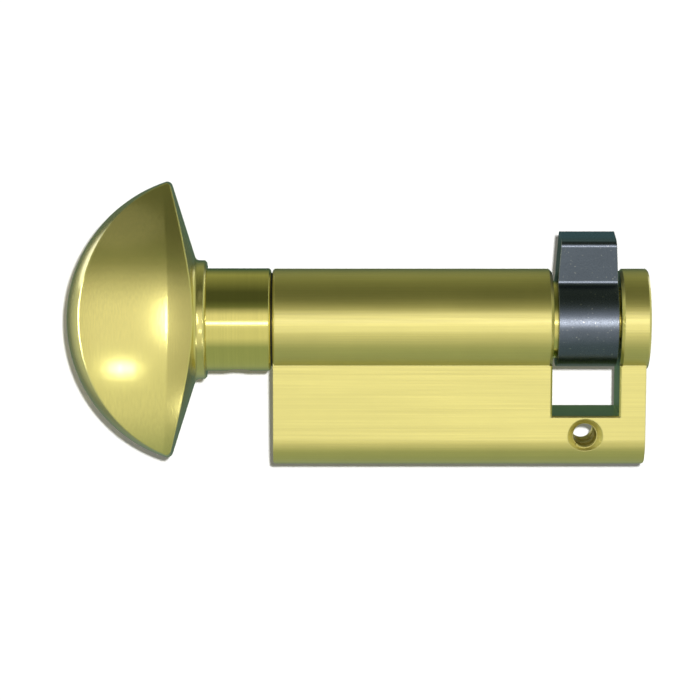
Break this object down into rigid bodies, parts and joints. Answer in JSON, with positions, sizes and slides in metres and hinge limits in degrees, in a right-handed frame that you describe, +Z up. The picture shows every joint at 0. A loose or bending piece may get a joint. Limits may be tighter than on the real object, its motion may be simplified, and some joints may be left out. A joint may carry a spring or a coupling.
{
  "type": "thumbturn profile cylinder",
  "caption": "Single profile lock cylinder with a half-moon brass thumbturn, a turning steel cam, a plain stub end and a fixing screw hole through its flag.",
  "frame": {"origin": "on the spindle's axis, in the middle of the cam slot, straight above the fixing screw hole", "axes": "+X along the spindle from the turn to the stub, +Z up from the flag to the round part, +Y away from the viewer, along the fixing screw hole"},
  "size_m": [0.0967, 0.0246, 0.0475],
  "materials": {
    "satin_brass": "satin, finely brushed along the body",
    "turn_brass": "satin, brushed from tip to tip",
    "polished_brass": "polished",
    "spindle_brass": "turned",
    "dark_steel": "sintered and blued, dull",
    "steel": "ground",
    "spring_steel": "dark spring steel",
    "black_plastic": "matte",
    "rubber": "matte"
  },
  "bodies": {
    "cylinder": {"cylinder_body": "satin_brass", "blank_plug": "spindle_brass", "blank_lock_pin": "steel", "brake_plug": "spindle_brass", "brake_spring": "spring_steel"},
    "turn": {"turn_head": "turn_brass", "turn_neck": "polished_brass", "turn_grub_screw": "steel", "thrust_washer": "black_plastic", "turn_spindle": "spindle_brass", "friction_ring": "rubber", "spindle_clip": "spring_steel", "cam": "dark_steel", "cam_key": "steel"},
    "brake": {"brake_pin": "steel"}
  },
  "joints": [
    {"name": "turn_spin", "type": "hinge", "parent": "cylinder", "child": "turn", "pos_m": [0, 0, 0], "axis": [1, 0, 0], "continuous": true},
    {"name": "brake_slide", "type": "slide", "parent": "cylinder", "child": "brake", "axis": [0, 0, -1], "range_m": [0, 0.0008], "stiffness_N_per_m": 500, "springref_m": -0.002, "deforming": ["brake_spring"]}
  ]
}
